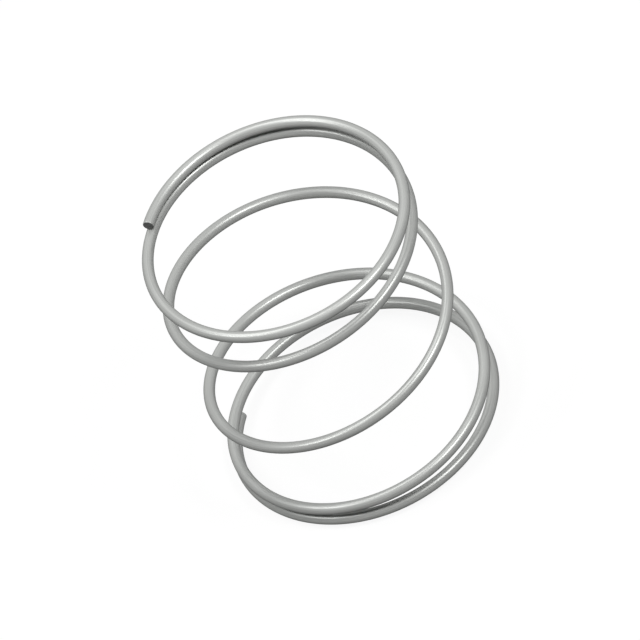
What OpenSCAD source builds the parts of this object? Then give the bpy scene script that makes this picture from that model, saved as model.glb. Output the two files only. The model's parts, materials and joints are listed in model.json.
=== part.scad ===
// Compression spring: one length of round wire, wound on one diameter and standing on its lower end.
// Both ends are closed and left unground. The end turn keeps so small a pitch that its tip meets the next
// turn, and the wire is cut square there. Then the pitch opens evenly to its full value between the ends.

/* [Wire] */
// Diameter of the round wire
wire_d = 1.25; // [0.8:0.05:2]
// Width of the small bevel round the edge of each cut end
edge_break = 0.06; // [0.02:0.01:0.2]

/* [Coil] */
// Outside diameter over the turns
outer_d = 30; // [20:0.5:50]
// Unloaded length, from the underside of the first turn to the top of the last
free_length = 33.4; // [26:0.2:70]
// Turns of wire in all, with those of the two ends
total_turns = 5; // [5:0.25:10]
// Hand of the winding
winding = "right"; // [right, left]
// Direction of the lower end of the wire, round from the X axis
start_angle = 146; // [0:1:359]

/* [Ends] */
// Closed turns at each end
closed_turns = 1; // [0.5:0.25:1.25]
// Turns over which the pitch opens from closed to full
opening_turns = 1; // [0.5:0.25:1.25]
// Gap between the tip of the wire and the turn that it meets
closed_gap = 0.02; // [0.01:0.01:0.1]

/* [Smoothness] */
// Flats round the wire
wire_sides = 16; // [8:4:16]
// Straight steps along the whole wire, shared out over its turns
wire_steps = 360; // [240:20:380]

/* [Hidden] */

steel_grey = [0.69, 0.70, 0.68];

full_turn = 360;
wire_r = wire_d / 2;
mean_r = outer_d / 2 - wire_r;
turn_round = 2 * PI * mean_r;

closed_pitch = wire_d + closed_gap;
rise = free_length - wire_d;
// Turn at which the pitch begins to close again, counted from the lower end
closing_start = total_turns - closed_turns - opening_turns;
// An opening stretch is worth half its turns at full pitch, and there is one at each end
open_turns = closing_start - closed_turns;
full_pitch = closed_pitch + (rise - closed_pitch * total_turns) / open_turns;

// A quarter turn is a whole number of steps, so that a tip meets its neighbour at matching points
quarter_steps = floor(wire_steps / total_turns / 4);
steps = 4 * quarter_steps * total_turns;
bevel_turns = edge_break / turn_round;

// Share of an opening stretch that lies behind, x turns after its start
function opened(x) = min(1, max(0, x / opening_turns));

// The same, added up over those x turns
function opened_sum(x) =
    let (past = max(0, x), on_stretch = min(past, opening_turns))
    on_stretch * on_stretch / (2 * opening_turns) + past - on_stretch;

// Pitch of the wire, t turns from its lower end
function pitch(t) =
    closed_pitch + (full_pitch - closed_pitch) * (opened(t - closed_turns) - opened(t - closing_start));

// Height of the middle of the wire, t turns from its lower end
function height(t) =
    wire_r + closed_pitch * t
    + (full_pitch - closed_pitch) * (opened_sum(t - closed_turns) - opened_sum(t - closing_start));

// Points round the wire at radius r, square to its run, t turns from its lower end
function section(t, r) =
    let (
        turned = full_turn * t,
        lead = atan(pitch(t) / turn_round),
        centre = [mean_r * cos(turned), mean_r * sin(turned), height(t)],
        outward = [cos(turned), sin(turned), 0],
        upward = [sin(turned) * sin(lead), -cos(turned) * sin(lead), cos(lead)]
    )
    [
        for (i = [0 : wire_sides - 1])
            let (a = full_turn * i / wire_sides)
            centre + r * (cos(a) * outward + sin(a) * upward)
    ];

// Turn and radius of each section along the wire, with the bevel of a cut end as the first and last pair
stations = [
    [0, wire_r - edge_break],
    [bevel_turns, wire_r],
    for (i = [1 : steps - 1]) [total_turns * i / steps, wire_r],
    [total_turns - bevel_turns, wire_r],
    [total_turns, wire_r - edge_break]
];

// Closed skin over a row of sections that have wire_sides points each
module skin(sections) {
    last = len(sections) - 1;
    walls = [
        for (k = [0 : last - 1], i = [0 : wire_sides - 1])
            let (
                here = k * wire_sides,
                next = here + wire_sides,
                j = (i + 1) % wire_sides
            )
            each [
                [here + i, next + j, next + i],
                [here + i, here + j, next + j]
            ]
    ];
    lower_cut = [for (i = [wire_sides - 1 : -1 : 0]) i];
    upper_cut = [for (i = [0 : wire_sides - 1]) last * wire_sides + i];
    polyhedron([for (s = sections) each s], [lower_cut, upper_cut, each walls]);
}

// The whole spring, turned to put its lower tip at the start angle. A left-hand coil is the mirrored one.
module coil_spring() {
    color(steel_grey)
        rotate([0, 0, start_angle])
            mirror([0, winding == "left" ? 1 : 0, 0])
                skin([for (s = stations) section(s[0], s[1])]);
}

coil_spring();
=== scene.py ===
import json
from math import cos, pi, radians, sin

import bpy
import numpy as np
from mathutils import Matrix, Vector


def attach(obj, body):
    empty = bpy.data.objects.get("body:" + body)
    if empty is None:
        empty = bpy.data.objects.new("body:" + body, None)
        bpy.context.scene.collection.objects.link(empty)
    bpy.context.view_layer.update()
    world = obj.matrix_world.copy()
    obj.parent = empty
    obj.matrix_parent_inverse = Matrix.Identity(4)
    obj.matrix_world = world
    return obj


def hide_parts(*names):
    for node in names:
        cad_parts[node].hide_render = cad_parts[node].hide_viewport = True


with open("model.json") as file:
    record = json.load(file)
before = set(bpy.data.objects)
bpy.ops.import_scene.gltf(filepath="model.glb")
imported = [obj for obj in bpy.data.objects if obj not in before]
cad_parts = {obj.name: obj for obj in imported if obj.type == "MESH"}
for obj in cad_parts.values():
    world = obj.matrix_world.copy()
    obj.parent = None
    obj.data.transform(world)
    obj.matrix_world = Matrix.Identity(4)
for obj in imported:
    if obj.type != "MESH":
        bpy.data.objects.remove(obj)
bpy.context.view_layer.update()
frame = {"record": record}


# The wire: one length of round spring steel, drawn to size and wound cold on a mandrel. Its middle line is a
# helix of one diameter. At both ends the pitch falls until the tip of the wire meets the next turn, and the
# wire is cut off square there, with the edge of the cut just broken.

mm = 0.001
fits = {m["name"]: m["dims"] for m in frame["record"]["mounts"]}
outer_r = fits["housing_fit"]["r_mm"] * mm
inner_r = fits["guide_rod_fit"]["r_mm"] * mm
free_length = fits["housing_fit"]["length_mm"] * mm
wire_r = (outer_r - inner_r) / 2
mean_r = (outer_r + inner_r) / 2

total_turns = 5
closed_turns = 1
# Turns over which the pitch opens from closed to full
opening_turns = 1
# Gap between the tip of the wire and the turn that it meets
closed_gap = 0.02 * mm
# Width of the broken edge round each cut
edge_break = 0.06 * mm
# Direction of the lower tip, round from the X axis
start_angle = radians(146)

closed_pitch = 2 * wire_r + closed_gap
closing_start = total_turns - closed_turns - opening_turns
# An opening stretch is worth half its turns at full pitch, and there is one at each end
open_turns = closing_start - closed_turns
full_pitch = closed_pitch + (free_length - 2 * wire_r - closed_pitch * total_turns) / open_turns
turn_round = 2 * pi * mean_r

steps_per_turn = 288
wire_sides = 48


def opened(x):
    """Share of an opening stretch that lies behind: x over the stretch's length, held between 0 and 1."""
    return np.clip(x / opening_turns, 0, 1)


def opened_sum(x):
    """That share added up: half of x squared over the stretch, and then x less half the stretch."""
    past = np.maximum(x, 0)
    on_stretch = np.minimum(past, opening_turns)
    return on_stretch**2 / (2 * opening_turns) + past - on_stretch


def middle_line(t):
    """Middle of the wire t turns from its lower tip, with its outward direction and the one square to both.

    The point runs round a circle of the mean radius. Its height is the wire's radius, plus the closed pitch
    times t, plus the rest of the pitch times the opened turns so far. The square direction is upright, leant
    back by the lead angle, whose tangent is the pitch over the way round one turn.
    """
    turned = start_angle + 2 * pi * t
    extra = full_pitch - closed_pitch
    pitch = closed_pitch + extra * (opened(t - closed_turns) - opened(t - closing_start))
    turns_open = opened_sum(t - closed_turns) - opened_sum(t - closing_start)
    height = wire_r + closed_pitch * t + extra * turns_open
    lead = np.arctan(pitch / turn_round)
    point = np.stack([mean_r * np.cos(turned), mean_r * np.sin(turned), height], -1)
    outward = np.stack([np.cos(turned), np.sin(turned), 0 * t], -1)
    along = np.stack([-np.sin(turned), np.cos(turned), 0 * t], -1)
    upward = np.stack([0 * t, 0 * t, 1 + 0 * t], -1)
    square = upward * np.cos(lead)[:, None] - along * np.sin(lead)[:, None]
    return point, outward, square


def tip_profile(rings_on_face, rings_on_edge):
    """Radius and setback of the rings of a cut tip, from the middle of its face out to the full wire.

    The face is flat up to the broken edge. The edge is a quarter circle of the edge's width, which
    turns from the face to the side of the wire.
    """
    face = np.linspace(0, 1, rings_on_face + 1)[1:] * (wire_r - edge_break)
    a = np.linspace(0, pi / 2, rings_on_edge + 1)[1:]
    radius = np.concatenate([face, wire_r - edge_break + edge_break * np.sin(a)])
    setback = np.concatenate([0 * face, edge_break * (1 - np.cos(a))])
    return radius, setback


def wire_grid():
    """Rings of the whole wire as turn, radius and share of cut face: tip, body and tip again.

    A tip's rings are set back along the wire from its end by the tip's profile. The body's rings are
    evenly spaced turns at the full radius.
    """
    radius, setback = tip_profile(rings_on_face=5, rings_on_edge=5)
    tip_t = setback / turn_round
    cut = (setback == 0).astype(float)
    body_t = np.linspace(0, total_turns, total_turns * steps_per_turn + 1)[1:-1]
    t = np.concatenate([tip_t, body_t, total_turns - tip_t[::-1]])
    r = np.concatenate([radius, np.full(len(body_t), wire_r), radius[::-1]])
    return t, r, np.concatenate([cut, 0 * body_t, cut[::-1]])


def swept_mesh(name, t, r, cut):
    """Tube through rings of radius r round the middle line at t, closed by one point at each end.

    A ring's point is the middle line's point plus r times the cosine of its angle outward plus r times the
    sine of its angle upward. Each quad joins two neighbouring points of two neighbouring rings.
    """
    point, outward, square = middle_line(t)
    a = np.arange(wire_sides) * 2 * pi / wire_sides
    spoke = outward[:, None] * np.cos(a)[:, None] + square[:, None] * np.sin(a)[:, None]
    rings = (point[:, None] + r[:, None, None] * spoke).reshape(-1, 3)
    ends = middle_line(np.array([0.0, total_turns]))[0]
    verts = np.concatenate([rings, ends])

    # Faces go round so that they point outwards
    i = np.arange(len(t) - 1)[:, None] * wire_sides
    j = np.arange(wire_sides)[None]
    k = (j + 1) % wire_sides
    quads = np.stack([i + wire_sides + j, i + wire_sides + k, i + k, i + j], -1).reshape(-1, 4)
    last = (len(t) - 1) * wire_sides
    lower_middle = 0 * j + len(rings)
    upper_middle = lower_middle + 1
    lower_fan = np.stack([j, k, lower_middle], -1).reshape(-1, 3)
    upper_fan = np.stack([last + k, last + j, upper_middle], -1).reshape(-1, 3)

    mesh = bpy.data.meshes.new(name)
    mesh.from_pydata(verts.tolist(), [], quads.tolist() + lower_fan.tolist() + upper_fan.tolist())

    # Where a point lies in the straight wire: across it, up it and along it, and whether it is on a cut face
    straight = np.stack(
        [r[:, None] * np.cos(a), r[:, None] * np.sin(a), (t * turn_round)[:, None] + 0 * a], -1
    ).reshape(-1, 3)
    centres = np.array([[0, 0, 0], [0, 0, total_turns * turn_round]])
    place = mesh.attributes.new("wire_place", "FLOAT_VECTOR", "POINT")
    place.data.foreach_set("vector", np.concatenate([straight, centres]).astype(np.float32).ravel())
    face = mesh.attributes.new("cut_face", "FLOAT", "POINT")
    face.data.foreach_set("value", np.concatenate([np.repeat(cut, wire_sides), [1, 1]]).astype(np.float32))
    mesh.validate()
    return mesh


def add_socket(group, name, kind, value=None, in_out="INPUT"):
    """Adds a socket to a node group, with the value that it holds when nothing is linked."""
    socket = group.interface.new_socket(name, in_out=in_out, socket_type=kind)
    if value is not None:
        socket.default_value = value


def draw_marks_group():
    """Marks of the drawing die: noise that is fine round the wire and stretched far along it.

    The place in the straight wire is taken in mm, its length is shrunk by the stretch, and the noise is read
    there.
    """
    group = bpy.data.node_groups.new("draw_marks", "ShaderNodeTree")
    add_socket(group, "Place", "NodeSocketVector")
    add_socket(group, "Marks per mm", "NodeSocketFloat", 10.0)
    add_socket(group, "Stretch", "NodeSocketFloat", 0.012)
    add_socket(group, "Mark", "NodeSocketFloat", in_out="OUTPUT")
    node, link = group.nodes.new, group.links.new
    ends_in, ends_out = node("NodeGroupInput"), node("NodeGroupOutput")
    stretch = node("ShaderNodeCombineXYZ")
    stretch.inputs["X"].default_value = 1.0
    stretch.inputs["Y"].default_value = 1.0
    link(ends_in.outputs["Stretch"], stretch.inputs["Z"])
    scaled = node("ShaderNodeVectorMath")
    scaled.operation = "MULTIPLY"
    link(ends_in.outputs["Place"], scaled.inputs[0])
    link(stretch.outputs[0], scaled.inputs[1])
    in_mm = node("ShaderNodeVectorMath")
    in_mm.operation = "SCALE"
    in_mm.inputs["Scale"].default_value = 1 / mm
    link(scaled.outputs[0], in_mm.inputs[0])
    noise = node("ShaderNodeTexNoise")
    noise.inputs["Detail"].default_value = 3.0
    link(in_mm.outputs[0], noise.inputs["Vector"])
    link(ends_in.outputs["Marks per mm"], noise.inputs["Scale"])
    link(noise.outputs["Fac"], ends_out.inputs["Mark"])
    return group


steel_dark = (0.455, 0.465, 0.450, 1)
steel_pale = (0.540, 0.550, 0.535, 1)
# Cut face colours, painted dark as the shade that the face lies in, in two tones for its torn grain
torn_painted_shade_dark = (0.08, 0.082, 0.08, 1)
torn_painted_shade_pale = (0.24, 0.244, 0.24, 1)
# Height of the marks and of the torn grain
relief_height = 0.01 * mm
# How much rougher the cut face is than the drawn side
cut_rougher = 0.2


def drawn_steel():
    """Bright drawn spring steel: satin grey, with die marks along it, and a rougher cut face painted dark as
    shade.
    """
    material = bpy.data.materials.new("drawn_spring_steel")
    material.use_nodes = True
    tree = material.node_tree
    node, link = tree.nodes.new, tree.links.new
    steel = tree.nodes["Principled BSDF"]
    # A thin dull film from the drawing keeps the wire from glaring where it is seen at a slant
    steel.inputs["Metallic"].default_value = 0.3
    steel.inputs["IOR"].default_value = 1.05
    steel.inputs["Specular Tint"].default_value = (0.1, 0.1, 0.1, 1)

    place = node("ShaderNodeAttribute")
    place.attribute_name = "wire_place"
    cut = node("ShaderNodeAttribute")
    cut.attribute_name = "cut_face"

    marks = node("ShaderNodeGroup")
    marks.node_tree = draw_marks_group()
    link(place.outputs["Vector"], marks.inputs["Place"])

    # Slow change of shade along the wire, from its oil film and its heat treatment
    object_place = node("ShaderNodeTexCoord")
    cloud = node("ShaderNodeTexNoise")
    cloud.inputs["Scale"].default_value = 140.0
    cloud.inputs["Detail"].default_value = 2.0
    link(object_place.outputs["Object"], cloud.inputs["Vector"])

    shade = node("ShaderNodeMix")
    shade.data_type = "RGBA"
    shade.inputs["A"].default_value = steel_dark
    shade.inputs["B"].default_value = steel_pale
    link(cloud.outputs["Fac"], shade.inputs["Factor"])
    streak = node("ShaderNodeMix")
    streak.data_type = "RGBA"
    streak.blend_type = "MULTIPLY"
    streak.inputs["Factor"].default_value = 0.35
    link(shade.outputs["Result"], streak.inputs["A"])
    link(marks.outputs["Mark"], streak.inputs["B"])

    # Torn grain of the cut face, where the cutter broke the last of the wire through
    grain = node("ShaderNodeTexNoise")
    grain.inputs["Scale"].default_value = 9 / mm
    grain.inputs["Detail"].default_value = 4.0
    link(place.outputs["Vector"], grain.inputs["Vector"])
    # Painted shade: the cut face's colours are darkened to stand for the shade that it lies in
    torn_grain_and_painted_shade = node("ShaderNodeMix")
    torn_grain_and_painted_shade.data_type = "RGBA"
    torn_grain_and_painted_shade.inputs["A"].default_value = torn_painted_shade_dark
    torn_grain_and_painted_shade.inputs["B"].default_value = torn_painted_shade_pale
    link(grain.outputs["Fac"], torn_grain_and_painted_shade.inputs["Factor"])

    sheared = node("ShaderNodeMix")
    sheared.data_type = "RGBA"
    link(cut.outputs["Fac"], sheared.inputs["Factor"])
    link(streak.outputs["Result"], sheared.inputs["A"])
    link(torn_grain_and_painted_shade.outputs["Result"], sheared.inputs["B"])
    link(sheared.outputs["Result"], steel.inputs["Base Color"])

    # Satin that the marks make a little uneven, and a rougher cut face
    rough = node("ShaderNodeMapRange")
    rough.inputs["From Min"].default_value = 0.3
    rough.inputs["From Max"].default_value = 0.7
    rough.inputs["To Min"].default_value = 0.32
    rough.inputs["To Max"].default_value = 0.38
    link(marks.outputs["Mark"], rough.inputs["Value"])
    duller = node("ShaderNodeMath")
    duller.operation = "MULTIPLY_ADD"
    duller.inputs[1].default_value = cut_rougher
    link(cut.outputs["Fac"], duller.inputs[0])
    link(rough.outputs["Result"], duller.inputs[2])
    link(duller.outputs[0], steel.inputs["Roughness"])

    relief = node("ShaderNodeMix")
    link(cut.outputs["Fac"], relief.inputs["Factor"])
    link(marks.outputs["Mark"], relief.inputs["A"])
    link(grain.outputs["Fac"], relief.inputs["B"])
    bump = node("ShaderNodeBump")
    bump.inputs["Strength"].default_value = 0.5
    bump.inputs["Distance"].default_value = relief_height
    link(relief.outputs["Result"], bump.inputs["Height"])
    link(bump.outputs["Normal"], steel.inputs["Normal"])
    return material


coil_mesh = swept_mesh("spring_coil", *wire_grid())
coil_mesh.shade_smooth()
coil = bpy.data.objects.new("spring_coil", coil_mesh)
bpy.context.scene.collection.objects.link(coil)
coil_mesh.materials.append(drawn_steel())
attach(coil, "root")
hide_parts("coil_spring")


# The table: a plain white sheet that the spring stands on. It shows white to the eye and to the steel, and it
# keeps the spring's shadow.

floor_half = 0.6
sheet_grey = 0.08
# With what the lamps add to the grey sheet, this comes to white
sheet_lift = 0.92


def seen_or_mirrored(tree):
    """1 for a ray that comes from the camera, from a gloss or through glass, and 0 for any other."""
    ray = tree.nodes.new("ShaderNodeLightPath")
    looked = tree.nodes.new("ShaderNodeMath")
    looked.operation = "MAXIMUM"
    tree.links.new(ray.outputs["Is Camera Ray"], looked.inputs[0])
    tree.links.new(ray.outputs["Is Glossy Ray"], looked.inputs[1])
    through = tree.nodes.new("ShaderNodeMath")
    through.operation = "MAXIMUM"
    tree.links.new(looked.outputs[0], through.inputs[0])
    tree.links.new(ray.outputs["Is Transmission Ray"], through.inputs[1])
    return through.outputs[0]


def white_sheet():
    """Matt sheet, lifted to white where it is looked at or mirrored, and still darker in a shadow."""
    material = bpy.data.materials.new("white_sheet")
    material.use_nodes = True
    tree = material.node_tree
    sheet = tree.nodes["Principled BSDF"]
    sheet.inputs["Base Color"].default_value = (sheet_grey, sheet_grey, sheet_grey, 1)
    sheet.inputs["Roughness"].default_value = 1.0
    sheet.inputs["Specular IOR Level"].default_value = 0.0
    sheet.inputs["Emission Color"].default_value = (1, 1, 1, 1)
    lift = tree.nodes.new("ShaderNodeMath")
    lift.operation = "MULTIPLY"
    lift.inputs[1].default_value = sheet_lift
    tree.links.new(seen_or_mirrored(tree), lift.inputs[0])
    tree.links.new(lift.outputs[0], sheet.inputs["Emission Strength"])
    # It only looks bright and gives no light, so none is looked for on it
    material.cycles.emission_sampling = "NONE"
    return material


floor_mesh = bpy.data.meshes.new("floor")
corners = np.array([[-1, -1, 0], [1, -1, 0], [1, 1, 0], [-1, 1, 0]]) * floor_half
floor_mesh.from_pydata(corners.tolist(), [], [(0, 1, 2, 3)])
floor = bpy.data.objects.new("floor", floor_mesh)
bpy.context.scene.collection.objects.link(floor)
floor_mesh.materials.append(white_sheet())


# The camera: parallel lines stay parallel in the picture, so it has no perspective. It looks down on the coil
# from the front and is rolled, so that the coil's axis leans to the left.

elevation = radians(46.08)
roll = radians(26.13)
px_per_m = 9443
picture_px = 640
# Pixel of the picture where the middle of the upper end turn lies
top_px = Vector((273.5, 225.4))
camera_distance = 0.5

level_right = Vector((1, 0, 0))
level_up = Vector((0, sin(elevation), cos(elevation)))
back = Vector((0, -cos(elevation), sin(elevation)))
right = cos(roll) * level_right - sin(roll) * level_up
up = sin(roll) * level_right + cos(roll) * level_up

top_middle = Vector((0, 0, free_length - wire_r))
middle_px = Vector((picture_px / 2, picture_px / 2))
shift = (middle_px - top_px) / px_per_m
target = top_middle + right * shift.x - up * shift.y

camera_data = bpy.data.cameras.new("camera")
camera_data.type = "ORTHO"
camera_data.ortho_scale = picture_px / px_per_m
camera_data.clip_start = 0.01
camera_data.clip_end = 5
camera = bpy.data.objects.new("camera", camera_data)
camera_turn = Matrix((right, up, back)).transposed().to_4x4()
camera.matrix_world = Matrix.Translation(target + back * camera_distance) @ camera_turn
bpy.context.scene.collection.objects.link(camera)
bpy.context.scene.camera = camera


# The light: one wide soft box overhead, and two smaller ones that draw a bright line along the wire, over the
# camera's right shoulder and to its left. The room looks white but gives no light, so the wire's underside is
# in shade.


def soft_box(name, way, size, power, reach):
    """Square lamp at that reach from the middle of the coil, in that direction and facing it."""
    lamp_data = bpy.data.lights.new(name, "AREA")
    lamp_data.shape = "SQUARE"
    lamp_data.size = size
    lamp_data.energy = power
    lamp = bpy.data.objects.new(name, lamp_data)
    middle = Vector((0, 0, free_length / 2))
    turn = way.normalized().to_track_quat("Z", "Y").to_matrix().to_4x4()
    lamp.matrix_world = Matrix.Translation(middle + way.normalized() * reach) @ turn
    bpy.context.scene.collection.objects.link(lamp)


soft_box("overhead", Vector((-0.22, 0.25, 1)), size=0.4, power=3.4, reach=0.9)
soft_box("key", 0.22 * right + 0.50 * up + 0.84 * back, size=0.18, power=2.4, reach=0.6)
soft_box("left", -0.72 * right + 0.22 * up + 0.66 * back, size=0.18, power=1.3, reach=0.6)

world = bpy.data.worlds.new("room")
bpy.context.scene.world = world
world.use_nodes = True
room = world.node_tree.nodes["Background"]
room.inputs["Color"].default_value = (1, 1, 1, 1)
world.node_tree.links.new(seen_or_mirrored(world.node_tree), room.inputs["Strength"])
world.cycles.sampling_method = "NONE"
bpy.context.scene.view_settings.view_transform = "Standard"
